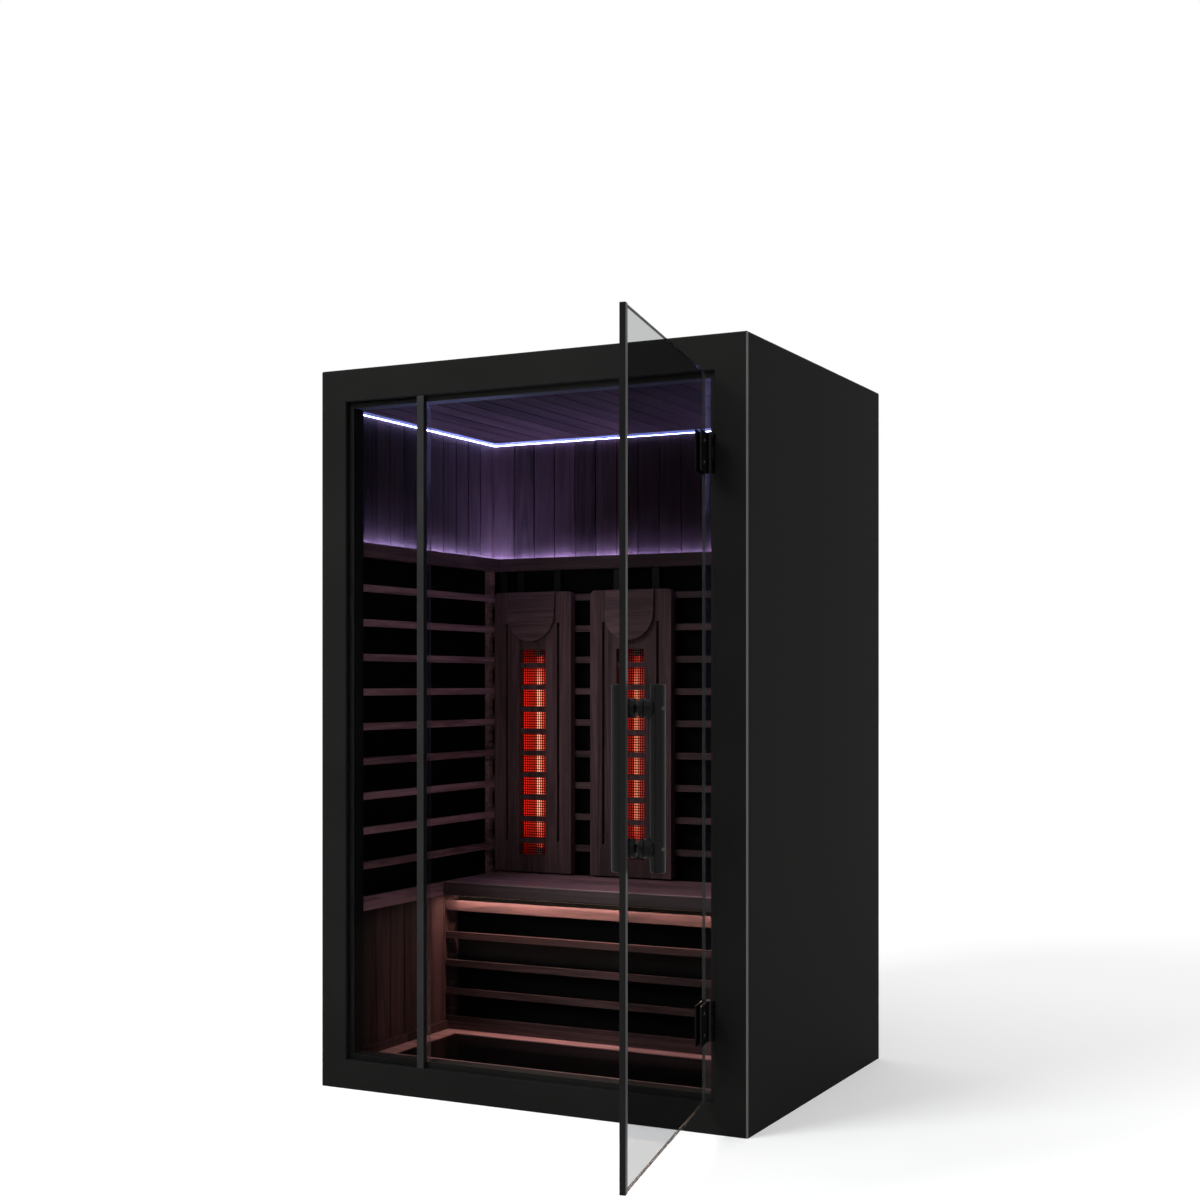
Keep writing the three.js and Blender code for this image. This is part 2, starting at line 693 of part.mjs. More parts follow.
function benchSeat() {
  const end = guardX - SEAT_SIDE_GAP;
  const r = SEAT_NOSING;
  const section = new THREE.Shape();
  section.moveTo(guardBack, seatUnder);
  section.lineTo(guardBack, SEAT_TOP);
  section.lineTo(seatFront + r, SEAT_TOP);
  section.absarc(seatFront + r, SEAT_TOP - r, r, Math.PI / 2, Math.PI, false);
  section.lineTo(seatFront, seatUnder + r);
  section.absarc(seatFront + r, seatUnder + r, r, Math.PI, 1.5 * Math.PI, false);
  return prism(section, "x", -end, end, NOSING_SEGMENTS);
}

function bearer(side) {
  const reach = [side * liningX, side * (liningX - BEARER_WIDTH)];
  return wallBlock("x", reach, [calfHeaterRear, liningBack], seatUnder - BEARER_HEIGHT, seatUnder);
}

const benchLightFront = seatFront + BENCH_LIGHT_INSET;
const benchLight = block(
  -guardX, guardX,
  benchLightFront, benchLightFront + BENCH_LIGHT_WIDTH,
  seatUnder - BENCH_LIGHT_HEIGHT, seatUnder,
);
addPiece(cabin, "bench_seat", benchSeat(), darkTimber());
addPiece(cabin, "left_bearer", bearer(-1), darkTimber());
addPiece(cabin, "right_bearer", bearer(1), darkTimber());
addPiece(cabin, "bench_light", benchLight, warmLight());

// Backrests with emitters

function slotPath(x) {
  const r = SLOT_WIDTH / 2;
  const [low, high] = [backrestLow + SLOT_LOWER + r, BACKREST_TOP - SLOT_UPPER - r];
  const path = new THREE.Path();
  path.moveTo(x - r, low);
  path.absarc(x, low, r, Math.PI, 2 * Math.PI, false);
  path.lineTo(x + r, high);
  path.absarc(x, high, r, 0, Math.PI, false);
  return path;
}

function backrest(x) {
  const [w, r] = [BACKREST_WIDTH / 2, BACKREST_CORNER];
  const shape = new THREE.Shape();
  shape.moveTo(x - w, backrestLow);
  shape.lineTo(x + w, backrestLow);
  shape.lineTo(x + w, BACKREST_TOP - r);
  shape.absarc(x + w - r, BACKREST_TOP - r, r, 0, Math.PI / 2, false);
  shape.lineTo(x - w + r, BACKREST_TOP);
  shape.absarc(x - w + r, BACKREST_TOP - r, r, Math.PI / 2, Math.PI, false);
  const v = WINDOW_WIDTH / 2;
  const window = new THREE.Path();
  window.setFromPoints([[x - v, windowLow], [x - v, windowHigh], [x + v, windowHigh], [x + v, windowLow]]
    .map(([a, b]) => new THREE.Vector2(a, b)));
  shape.holes.push(window, slotPath(x - SLOT_OFFSET), slotPath(x + SLOT_OFFSET));
  const board = prism(shape, "y", backrestFace, guardBack, CORNER_SEGMENTS);
  const rungFace = backrestFace + RUNG_RECESS;
  const rungs = Array.from({ length: RUNG_COUNT }, (_, i) => {
    const z = windowLow + RUNG_START + i * RUNG_PITCH;
    return block(x - v - OVERLAP, x + v + OVERLAP, rungFace, rungFace + RUNG_THICKNESS, z, z + RUNG_HEIGHT);
  });
  return join([board, ...rungs]);
}

// A tongue with a round lower end, thin at the top and standing proud at the bottom.
function headrest(x) {
  const r = HEADREST_WIDTH / 2;
  const low = BACKREST_TOP - HEADREST_LENGTH;
  const shape = new THREE.Shape();
  shape.moveTo(x + r, BACKREST_TOP);
  shape.lineTo(x - r, BACKREST_TOP);
  shape.lineTo(x - r, low + r);
  shape.absarc(x, low + r, r, Math.PI, 2 * Math.PI, false);
  const options = { depth: 1, bevelEnabled: false, curveSegments: HEADREST_SEGMENTS };
  const geometry = new THREE.ExtrudeGeometry(shape, options);
  const rear = backrestFace;
  return solid(moveVertices(geometry, (a, z, d) => {
    const drop = (BACKREST_TOP - z) / HEADREST_LENGTH;
    const depth = HEADREST_TOP_DEPTH + drop * (HEADREST_LOW_DEPTH - HEADREST_TOP_DEPTH);
    return [a, d < 0.5 ? rear : rear - depth, z];
  }));
}

const trayInner = TRAY_WIDTH / 2 - TRAY_WALL;

function emitterTray(x) {
  const w = TRAY_WIDTH / 2;
  const shell = block(x - w, x + w, tray.front, tray.rear, tray.low, tray.high);
  const hollow = block(
    x - trayInner, x + trayInner,
    tray.front - TRAY_WALL, tray.rear - TRAY_WALL,
    tray.low + TRAY_WALL, tray.high - TRAY_WALL,
  );
  return cut(shell, [hollow]);
}

function emitterTube(x) {
  const middle = (tray.front + tray.rear) / 2;
  return rod(TUBE_RADIUS, "z", [x, middle, 0], tray.low + TRAY_WALL + FIT, tray.high - TRAY_WALL - FIT);
}

// A flat screen of square-cut gaps that fills the mouth of the tray.
function emitterGrille(x) {
  const [a0, a1] = [x - trayInner + FIT, x + trayInner - FIT];
  const [z0, z1] = [tray.low + TRAY_WALL + FIT, tray.high - TRAY_WALL - FIT];
  const [y0, y1] = [tray.front, tray.front + GRILLE];
  const cellWidth = (a1 - a0 - GRILLE_WIRE) / GRILLE_COLUMNS;
  const cellHeight = (z1 - z0 - GRILLE_WIRE) / GRILLE_ROWS;
  const gaps = [];
  for (let column = 0; column < GRILLE_COLUMNS; column += 1) {
    for (let row = 0; row < GRILLE_ROWS; row += 1) {
      const a = a0 + GRILLE_WIRE + column * cellWidth;
      const z = z0 + GRILLE_WIRE + row * cellHeight;
      const [right, top] = [a + cellWidth - GRILLE_WIRE, z + cellHeight - GRILLE_WIRE];
      gaps.push(block(a, right, y0 - GRILLE, y1 + GRILLE, z, top));
    }
  }
  return cut(block(a0, a1, y0, y1, z0, z1), gaps);
}

for (const [name, x] of backrests) {
  addPiece(cabin, `${name}_backrest`, backrest(x), darkTimber());
  addPiece(cabin, `${name}_headrest`, headrest(x), darkTimber());
  addPiece(cabin, `${name}_emitter_tray`, emitterTray(x), finish(0x6b6b6b, 0.3, 0.8));
  addPiece(cabin, `${name}_emitter_tube`, emitterTube(x), finish(0xff5a2a, 0.3));
  addPiece(cabin, `${name}_emitter_grille`, emitterGrille(x), blackMetal());
}

// Fixed glass, mullion and seals

function mullion() {
  const lap = mullionLeft + MULLION_COVER + FIT;
  const lipRear = stopFace - GLASS - FIT;
  const plan = [
    [mullionLeft, front], [mullionRight, front], [mullionRight, stopFace],
    [lap, stopFace], [lap, lipRear], [mullionLeft, lipRear],
  ];
  return prism(outline(plan), "z", opening.low, opening.high);
}

const fixedPane = block(
  opening.left + PANE_GAP, mullionLeft + MULLION_COVER,
  stopFace - GLASS, stopFace,
  opening.low + PANE_GAP, opening.high - PANE_GAP,
);
const latchSeal = block(
  mullionLeft + MULLION_COVER, mullionRight + SEAL_OVERHANG,
  stopFace, stopFace + SEAL_THICKNESS,
  opening.low + STOP, opening.high - STOP,
);
const hingeSealFront = stopFace + HINGE_SEAL_SETBACK;
const hingeSeal = block(
  opening.right - STOP - HINGE_SEAL_WIDTH, opening.right - STOP,
  hingeSealFront, hingeSealFront + SEAL_THICKNESS,
  opening.low + STOP, opening.high - STOP,
);
addPiece(cabin, "mullion", mullion(), blackMetal());
addPiece(cabin, "fixed_glass", fixedPane, clearGlass());
addPiece(cabin, "latch_seal", latchSeal, clearSeal());
addPiece(cabin, "hinge_seal", hingeSeal, clearSeal());

// Hinge leaves and pins on the right stile

const pinX = opening.right - PIN_TO_STILE;
const pinY = front - PIN_PROUD;
const knuckleHeight = HINGE_HEIGHT / 3;
const boreRadius = PIN_RADIUS + FIT;

function hingeLeaf(middle) {
  const [z0, z1] = [middle - HINGE_HEIGHT / 2, middle + HINGE_HEIGHT / 2];
  const plateFront = pinY - PIN_RADIUS;
  const plate = block(opening.right - LEAF_THICKNESS, opening.right, front, stopFace, z0, z1);
  const ends = [[z0, z0 + knuckleHeight], [z1 - knuckleHeight, z1]];
  const knuckles = ends.flatMap(([low, high]) => [
    rod(KNUCKLE_RADIUS, "z", [pinX, pinY, 0], low, high),
    block(pinX, opening.right, plateFront, front + PIN_RADIUS, low, high),
  ]);
  const bore = rod(boreRadius, "z", [pinX, pinY, 0], z0 - HINGE_HEIGHT, z1 + HINGE_HEIGHT);
  return cut(join([plate, ...knuckles]), [bore]);
}

function hingePin(middle) {
  const [z0, z1] = [middle - HINGE_HEIGHT / 2, middle + HINGE_HEIGHT / 2];
  const headLow = z1 + FIT;
  const profile = [
    [0, z0], [PIN_RADIUS, z0], [PIN_RADIUS, headLow],
    [PIN_HEAD_RADIUS, headLow], [PIN_HEAD_RADIUS, headLow + PIN_HEAD], [0, headLow + PIN_HEAD],
  ];
  return turned(profile, "z", [pinX, pinY, 0]);
}

const hinges = [["upper", opening.high - HINGE_BELOW_HEAD], ["lower", opening.low + HINGE_ABOVE_SILL]];
for (const [name, middle] of hinges) {
  addPiece(cabin, `${name}_hinge_leaf`, hingeLeaf(middle), blackMetal());
  addPiece(cabin, `${name}_hinge_pin`, hingePin(middle), blackMetal());
}

// Door, drawn shut with the hinge pin as its origin, then swung open

const door = new THREE.Group();
door.position.set(pinX, pinY, 0);
door.rotation.z = THREE.MathUtils.degToRad(OPEN_ANGLE);
cabin.add(door);

const doorLow = opening.low + DOOR_BOTTOM_GAP;
const doorHigh = opening.high - DOOR_TOP_GAP;
const freeEdge = mullionRight + DOOR_LATCH_GAP - pinX;
const glassEdge = freeEdge + EDGE_PROFILE_WALL;
const glassOuter = PIN_TO_GLASS;
const glassInner = PIN_TO_GLASS + GLASS;
const handleX = freeEdge + HANDLE_TO_EDGE;
const standoffs = [HANDLE_MIDDLE - STANDOFF_SPACING / 2, HANDLE_MIDDLE + STANDOFF_SPACING / 2];

function doorGlass() {
  const pane = block(glassEdge, -PIN_TO_GLASS, glassOuter, glassInner, doorLow, doorHigh);
  const bores = standoffs.map((z) => rod(GLASS_BORE, "y", [handleX, 0, z], 0, glassInner + GLASS));
  return cut(pane, bores);
}

function edgeProfile() {
  const inner = freeEdge + EDGE_PROFILE_WIDTH;
  const web = glassEdge - FIT;
  const [slotOuter, slotInner] = [glassOuter - FIT, glassInner + FIT];
  const [outer, rear] = [slotOuter - EDGE_PROFILE_CHEEK, slotInner + EDGE_PROFILE_CHEEK];
  const plan = [
    [freeEdge, outer], [inner, outer], [inner, slotOuter], [web, slotOuter],
    [web, slotInner], [inner, slotInner], [inner, rear], [freeEdge, rear],
  ];
  return prism(outline(plan), "z", doorLow, doorHigh);
}

function hingeClamp(middle) {
  const [z0, z1] = [middle - HINGE_HEIGHT / 2, middle + HINGE_HEIGHT / 2];
  const far = -PIN_TO_GLASS - CLAMP_LENGTH;
  const [slotOuter, slotInner] = [glassOuter - FIT, glassInner + FIT];
  const [outer, rear] = [glassOuter - CLAMP_CHEEK, glassInner + CLAMP_CHEEK];
  const web = -PIN_TO_GLASS + FIT;
  const near = web + CLAMP_CHEEK - FIT;
  const plan = [
    [far, outer], [near, outer], [near, rear], [far, rear],
    [far, slotInner], [web, slotInner], [web, slotOuter], [far, slotOuter],
  ];
  const jaws = prism(outline(plan), "z", z0, z1);
  const [low, high] = [z0 + knuckleHeight + KNUCKLE_GAP, z1 - knuckleHeight - KNUCKLE_GAP];
  const knuckle = rod(KNUCKLE_RADIUS, "z", [0, 0, 0], low, high);
  const room = KNUCKLE_RADIUS + KNUCKLE_GAP;
  const reliefs = [
    rod(room, "z", [0, 0, 0], z0 - KNUCKLE_RADIUS, low),
    rod(room, "z", [0, 0, 0], high, z1 + KNUCKLE_RADIUS),
  ];
  const bore = rod(boreRadius, "z", [0, 0, 0], z0 - HINGE_HEIGHT, z1 + HINGE_HEIGHT);
  return cut(cut(jaws, reliefs).add(knuckle), [bore]);
}

// A bar with two turned standoffs; outward is -1 on the outer face of the door and 1 on the inner.
function barHandle(outward) {
  const face = (outward < 0 ? glassOuter : glassInner) + outward * FIT;
  const axis = (outward < 0 ? glassOuter : glassInner) + outward * HANDLE_TO_GLASS;
  const [z0, z1] = [HANDLE_MIDDLE - HANDLE_LENGTH / 2, HANDLE_MIDDLE + HANDLE_LENGTH / 2];
  const [r, c] = [HANDLE_RADIUS, HANDLE_END_CHAMFER];
  const barProfile = [[0, z0], [r - c, z0], [r, z0 + c], [r, z1 - c], [r - c, z1], [0, z1]];
  const bar = turned(barProfile, "z", [handleX, axis, 0]);
  const [flange, neck] = [STANDOFF_FLANGE, STANDOFF_FLANGE + STANDOFF_NECK_WIDTH];
  const reach = HANDLE_TO_GLASS - FIT;
  const steps = [
    [0, 0], [STANDOFF_RADIUS, 0], [STANDOFF_RADIUS, flange], [STANDOFF_NECK, flange], [STANDOFF_NECK, neck],
    [STANDOFF_RADIUS, neck], [STANDOFF_RADIUS, reach - r / 2], [r / 2, reach], [0, reach],
  ];
  const profile = steps.map(([radius, d]) => [radius, face + outward * d]);
  const ordered = outward < 0 ? profile.reverse() : profile;
  const posts = standoffs.map((z) => turned(ordered, "y", [handleX, 0, z]));
  const threadEnd = face + outward * BOLT_GRIP;
  const [from, to] = [Math.min(face - outward, threadEnd), Math.max(face - outward, threadEnd)];
  const threads = standoffs.map((z) => rod(BOLT_RADIUS + FIT, "y", [handleX, 0, z], from, to));
  return cut(join([bar, ...posts]), threads);
}

function throughBolt(z) {
  const reach = BOLT_GRIP - 2 * FIT;
  return rod(BOLT_RADIUS, "y", [handleX, 0, z], glassOuter - reach, glassInner + reach);
}

addPiece(door, "door_glass", doorGlass(), clearGlass());
addPiece(door, "door_edge_profile", edgeProfile(), blackMetal());
for (const [name, middle] of hinges) {
  addPiece(door, `${name}_hinge_clamp`, hingeClamp(middle), blackMetal());
}
addPiece(door, "outer_handle", barHandle(-1), blackMetal());
addPiece(door, "inner_handle", barHandle(1), blackMetal());
addPiece(door, "lower_handle_bolt", throughBolt(standoffs[0]), blackMetal());
addPiece(door, "upper_handle_bolt", throughBolt(standoffs[1]), blackMetal());

export default cabin;
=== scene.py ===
# %% [markdown]
# # An infrared sauna cabin
# A black cabin for two people stands with its glass door open. Inside are dark boards, slatted
# heaters, a bench, and two backrests with glowing emitters. Every rigid piece comes from the packed
# frame, already in place. This lesson gives each surface its finish, adds the small fittings and the
# fine wire screens, and sets the camera and the light.

# %% Load the frame
import json
import math

import bmesh
import bpy
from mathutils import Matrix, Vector


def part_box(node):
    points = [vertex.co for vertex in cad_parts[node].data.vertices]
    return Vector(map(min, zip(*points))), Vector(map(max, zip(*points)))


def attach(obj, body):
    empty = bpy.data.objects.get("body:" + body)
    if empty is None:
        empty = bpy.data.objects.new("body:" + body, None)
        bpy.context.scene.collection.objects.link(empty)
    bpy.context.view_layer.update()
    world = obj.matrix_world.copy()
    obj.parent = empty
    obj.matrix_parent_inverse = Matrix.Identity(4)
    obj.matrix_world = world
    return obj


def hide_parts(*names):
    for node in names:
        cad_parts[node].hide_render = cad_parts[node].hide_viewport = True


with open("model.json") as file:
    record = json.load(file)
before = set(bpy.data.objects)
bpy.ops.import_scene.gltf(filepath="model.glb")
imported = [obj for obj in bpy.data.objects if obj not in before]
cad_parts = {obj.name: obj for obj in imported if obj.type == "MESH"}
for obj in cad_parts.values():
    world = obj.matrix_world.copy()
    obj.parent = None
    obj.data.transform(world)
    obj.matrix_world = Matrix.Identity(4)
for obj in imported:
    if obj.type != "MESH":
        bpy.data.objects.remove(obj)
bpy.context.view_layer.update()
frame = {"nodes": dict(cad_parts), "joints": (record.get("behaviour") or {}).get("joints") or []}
nodes = frame["nodes"]

# %% [markdown]
# ## Camera
# The photograph was fitted first: six corners of the casing give the eye's place, its turn and the
# focal length. The eye looks level, so upright edges stay upright, and a lens shift moves the horizon
# down to where the photograph has it. Tilting the camera instead would make the walls lean.

# %% Camera
PHOTO_SIZE = 1200
PHOTO_FOCAL = 1755.1
PHOTO_HORIZON = 683.8
EYE = Vector((2.1596, -4.3364, 1.0694))
EYE_TURN = 26.805
SENSOR = 36.0

lens = bpy.data.cameras.new("eye")
lens.sensor_width = SENSOR
lens.lens = PHOTO_FOCAL / PHOTO_SIZE * SENSOR
lens.shift_y = PHOTO_HORIZON / PHOTO_SIZE - 0.5
eye = bpy.data.objects.new("eye", lens)
eye.location = EYE
eye.rotation_euler = (math.radians(90), 0, math.radians(EYE_TURN))
scene = bpy.context.scene
scene.collection.objects.link(eye)
scene.camera = eye
scene.view_settings.view_transform = "Standard"
print("lens", round(lens.lens, 2), "mm, shift", round(lens.shift_y, 4))

# %% [markdown]
# ## Shader maths
# A finish is a small network of nodes. Written out node by node it is hard to read, so one class wraps
# a socket and lets `a * 2 + b` add the Math nodes, and one method makes every other node.

# %% Socket sums
class Socket:
    """An output socket that can be used in sums."""

    def __init__(self, finish, socket):
        self.finish = finish
        self.socket = socket

    def math(self, operation, *operands):
        return self.finish.node("ShaderNodeMath", {"operation": operation}, dict(enumerate(operands)))

    def __add__(self, other):
        return self.math("ADD", self, other)

    def __sub__(self, other):
        return self.math("SUBTRACT", self, other)

    def __rsub__(self, other):
        return self.math("SUBTRACT", other, self)

    def __mul__(self, other):
        return self.math("MULTIPLY", self, other)

    def __truediv__(self, other):
        return self.math("DIVIDE", self, other)

    def __pow__(self, other):
        return self.math("POWER", self, other)

    def __gt__(self, other):
        return self.math("GREATER_THAN", self, other)

    def __lt__(self, other):
        return self.math("LESS_THAN", self, other)

    def __or__(self, other):
        return self.math("MAXIMUM", self, other)

    def __abs__(self):
        return self.math("ABSOLUTE", self)

    def floor(self):
        return self.math("FLOOR", self)

    def sine(self):
        return self.math("SINE", self)

    def clamp(self):
        return self.math("MINIMUM", self.math("MAXIMUM", self, 0.0), 1.0)

    __radd__ = __add__
    __rmul__ = __mul__


# %% Finish maker
class Finish:
    """A material under construction."""

    def __init__(self, name, tree=None):
        if tree is None:
            self.material = bpy.data.materials.new(name)
            self.material.use_nodes = True
            tree = self.material.node_tree
        self.tree = tree
        self.tree.nodes.clear()

    def node(self, kind, settings=None, inputs=None, out=0):
        made = self.tree.nodes.new(kind)
        for key, value in (settings or {}).items():
            if key == "stops":
                self.set_stops(made.color_ramp, value)
            else:
                setattr(made, key, value)
        for key, value in (inputs or {}).items():
            if isinstance(value, Socket):
                self.tree.links.new(value.socket, made.inputs[key])
            else:
                made.inputs[key].default_value = value
        return Socket(self, made.outputs[out]) if made.outputs else None

    def set_stops(self, ramp, stops):
        while len(ramp.elements) < len(stops):
            ramp.elements.new(1.0)
        for element, (place, colour) in zip(ramp.elements, stops):
            element.position = place
            element.color = (*colour, 1.0)

    def outputs(self, socket, names):
        return [Socket(self, socket.socket.node.outputs[name]) for name in names]

    def place(self):
        return self.node("ShaderNodeTexCoord", out="Object")

    def facing(self):
        return self.parts(self.node("ShaderNodeTexCoord", out="Normal"))

    def parts(self, vector):
        return self.outputs(self.node("ShaderNodeSeparateXYZ", inputs={0: vector}), "XYZ")

    def seen(self):
        names = ("Is Camera Ray", "Is Glossy Ray", "Is Transmission Ray")
        camera, glossy, through = self.outputs(self.node("ShaderNodeLightPath"), names)
        return camera | glossy | through

    def vector_math(self, operation, first, second, out=0):
        return self.node("ShaderNodeVectorMath", {"operation": operation}, {0: first, 1: second}, out)

    def noise(self, vector, scale, detail=3.0, roughness=0.55, distortion=0.0):
        values = {"Vector": vector, "Scale": scale, "Detail": detail}
        values.update({"Roughness": roughness, "Distortion": distortion})
        return self.node("ShaderNodeTexNoise", inputs=values)

    def ramp(self, fac, stops):
        return self.node("ShaderNodeValToRGB", {"stops": stops}, {0: fac})

    def mix(self, fac, first, second):
        return self.node("ShaderNodeMix", {"data_type": "RGBA"}, {0: fac, 6: first, 7: second}, out=2)

    def blend(self, fac, first, second):
        return self.node("ShaderNodeMixShader", inputs={0: fac, 1: first, 2: second})

    def bump(self, height, strength, distance):
        values = {"Height": height, "Strength": strength, "Distance": distance}
        return self.node("ShaderNodeBump", inputs=values)

    def principled(self, **values):
        inputs = {key.replace("_", " "): value for key, value in values.items()}
        return self.node("ShaderNodeBsdfPrincipled", inputs=inputs)

    def done(self, shader):
        self.node("ShaderNodeOutputMaterial", inputs={"Surface": shader})
        return self.material


def grey(value):
    return (value, value, value, 1.0)


def tone(red, green, blue):
    return (red, green, blue, 1.0)


print("shader kit ready")

# %% [markdown]
# ## Light and stage
# The photograph is a studio cut-out on white, lit softly from the front left. A pale world gives the
# plain level and two wide lamps add direction. The background is white only to rays that look at it
# straight, by reflection or through glass, so it adds no light. The floor is filled the same way and
# keeps the cabin's soft shadow.

# %% World
WORLD_LEVEL = 0.5

world = bpy.data.worlds.new("studio")
world.use_nodes = True
scene.world = world
sky = Finish("studio", world.node_tree)
plain = sky.node("ShaderNodeBackground", inputs={"Color": grey(1.0), "Strength": WORLD_LEVEL})
white = sky.node("ShaderNodeBackground", inputs={"Color": grey(1.0), "Strength": 1.0})
sky.node("ShaderNodeOutputWorld", inputs={"Surface": sky.blend(sky.seen(), plain, white)})
print("world level", WORLD_LEVEL)

# %% Lamps
def softbox(name, place, aim, size, power):
    lamp = bpy.data.lights.new(name, "AREA")
    lamp.shape = "RECTANGLE"
    lamp.size, lamp.size_y = size
    lamp.energy = power
    holder = bpy.data.objects.new(name, lamp)
    holder.location = place
    holder.rotation_euler = (Vector(aim) - Vector(place)).to_track_quat("-Z", "Y").to_euler()
    scene.collection.objects.link(holder)


softbox("front_softbox", place=(-1.9, -3.9, 4.3), aim=(0, 0, 0.8), size=(2.2, 2.2), power=270)
softbox("top_softbox", place=(0.0, 0.3, 5.0), aim=(0, 0, 0), size=(4.0, 4.0), power=50)
print("lamps", [light.name for light in bpy.data.lights])

# %% Floor
FLOOR_REACH = 40.0
NEAR_FILL = 0.28
FAR_FILL = 0.62
FILL_REACH = 8.0
PAPER_TONE = grey(0.85)

floor_mesh = bpy.data.meshes.new("studio_floor")
corners = [(x * FLOOR_REACH, y * FLOOR_REACH, 0.0) for x, y in ((-1, -1), (1, -1), (1, 1), (-1, 1))]
floor_mesh.from_pydata(corners, [], [(0, 1, 2, 3)])
studio_floor = bpy.data.objects.new("studio_floor", floor_mesh)
scene.collection.objects.link(studio_floor)
paper = Finish("studio_paper")
sheet = paper.principled(Base_Color=PAPER_TONE, Roughness=0.9, Specular_IOR_Level=0.1)
distance = paper.node("ShaderNodeVectorMath", {"operation": "LENGTH"}, {0: paper.place()}, "Value")
fill_level = (distance / FILL_REACH).clamp() * (FAR_FILL - NEAR_FILL) + NEAR_FILL
glow = paper.mix(paper.seen() * fill_level, grey(0.0), grey(1.0))
fill = paper.node("ShaderNodeEmission", inputs={"Color": glow, "Strength": 1.0})
floor_mesh.materials.append(paper.done(paper.node("ShaderNodeAddShader", inputs={0: sheet, 1: fill})))
print("floor", FLOOR_REACH * 2, "m wide")

# %% [markdown]
# ## Black casing
# The casing is board with a matt black laminate. Close up it has a fine leathery grain and a slight
# cloudiness. The chamfers on the upright outer corners are painted a lighter tone, a painted highlight
# that stands in for the glint of light along them. Those corners are found by direction and place: only
# they look along two level axes at once and lie far from the middle.

# %% Casing finish
CORNER_REACH = 0.6
CORNER_TILT = 0.3
CORNER_GLINT_TONE = tone(0.15, 0.148, 0.146)
LAMINATE_DARK = (0.0080, 0.0080, 0.0077)
LAMINATE_PALE = (0.0108, 0.0108, 0.0104)


def black_laminate():
    f = Finish("black_laminate")
    place = f.place()
    cloud = f.noise(place, scale=2.6, detail=4)
    grain = f.noise(place, scale=620.0, detail=2)
    sideways, forward = f.facing()[:2]
    corner = (abs(sideways) * abs(forward) > CORNER_TILT) * (abs(f.parts(place)[0]) > CORNER_REACH)
    body = f.ramp(cloud, [(0.3, LAMINATE_DARK), (0.7, LAMINATE_PALE)])
    # The upright corner chamfers get a painted highlight: a lighter tone for the glint of light on them.
    colour = f.mix(corner, body, CORNER_GLINT_TONE)
    rough = cloud * 0.1 + grain * 0.12 + 0.42
    normal = f.bump(grain, strength=0.08, distance=0.0004)
    surface = {"Base_Color": colour, "Roughness": rough, "Normal": normal}
    return f.done(f.principled(**surface, Specular_IOR_Level=0.01))


casing = black_laminate()
print("casing", casing.name)

# %% [markdown]
# ## Dark timber
# The boards are softwood stained nearly black, with a warm red-brown under the stain. Each board was
# cut from another place in the log, so its tone differs from its neighbour's: the board's number goes
# through white noise and shifts the colour. Grain is noise that is drawn out along the board, with
# fine pores, and the same grain feeds roughness and bump so that light catches it. Slats, rails, floor
# and headrests are paler than the walls, and on the side slats and headrests that is partly painted
# light. The seat's upward faces are painted palest, a painted light on its top, and are smoothest. The
# ribs behind the back slats are blackened, so that the slats seem to float before the heater.

# %% Timber finish
DARK_STAIN = Vector((0.018, 0.0090, 0.0096))
PALE_STAIN = Vector((0.092, 0.0470, 0.0500))
BLACKENED = grey(0.0015)
ALONG = 2.0
ACROSS = 46.0
RING_COUNT = 34.0
RING_SHARE = 0.30
FIBRE_SHARE = 0.62
BOARD_SHARE = 0.34
PORE_SHARE = 0.6
STAIN_DEPTH = 0.2


def timber(name, along, boards, paler=1.0, painted_top_light=1.0, satin=0.44, shine=0.14, hidden=None):
    f = Finish(name)
    place = f.place()
    axis, start, pitch = boards
    x, y, z = f.parts(place)
    number = (({"x": x, "y": y, "z": z}[axis] - start) / pitch).floor()
    board = f.node("ShaderNodeTexWhiteNoise", {"noise_dimensions": "1D"}, {"W": number})
    shift = f.node("ShaderNodeCombineXYZ", inputs={0: board * 7.0, 1: board * 3.0, 2: board * 5.0})
    factors = [ALONG if letter == along else ACROSS for letter in "xyz"]
    drawn = f.vector_math("MULTIPLY", f.vector_math("ADD", place, shift), factors)
    figure = f.noise(drawn, scale=0.42, detail=4, roughness=0.6, distortion=0.7)
    rings = (figure * RING_COUNT).sine() * 0.5 + 0.5
    fibre = f.noise(drawn, scale=3.4, detail=5, roughness=0.65)
    pores = f.noise(drawn, scale=11.0, detail=2) ** 3.0
    bright = rings * RING_SHARE + fibre * FIBRE_SHARE + board * BOARD_SHARE
    light = (bright - STAIN_DEPTH - pores * PORE_SHARE).clamp()
    colour = f.ramp(light, [(0.0, DARK_STAIN * paler), (1.0, PALE_STAIN * paler)])
    # Faces that look up get a paler ramp: painted light on the tops, used for the seat.
    if painted_top_light != 1.0:
        painted_top_colour = f.ramp(light, [(0.0, DARK_STAIN * painted_top_light), (1.0, PALE_STAIN * painted_top_light)])
        colour = f.mix(f.facing()[2] > 0.5, colour, painted_top_colour)
    if hidden:
        depth, reach = hidden
        colour = f.mix((y > depth) * (abs(x) < reach), colour, BLACKENED)
    rough = fibre * 0.22 + satin
    relief = fibre * 0.7 + rings * 0.2 - pores * 0.8
    normal = f.bump(relief, strength=0.3, distance=0.0007)
    surface = {"Base_Color": colour, "Roughness": rough, "Normal": normal}
    return f.done(f.principled(**surface, Specular_IOR_Level=shine))


print("timber maker ready")

# %% [markdown]
# Each row of boards has a direction of grain, and an axis, a start and a pitch by which its boards are
# counted. The stain's strength was matched to the photograph piece by piece.

# %% Timber rows
BOARD_PITCH = 0.07
SLAT_PITCH = 0.0936
SEAT_STAVE = 0.11
BACKREST_STAVE = 0.0873
HEADREST_STAVE = BACKREST_STAVE * 9.0
CEILING_START = -0.525
RIB_DEPTH = 0.0128
RIB_REACH = 0.56

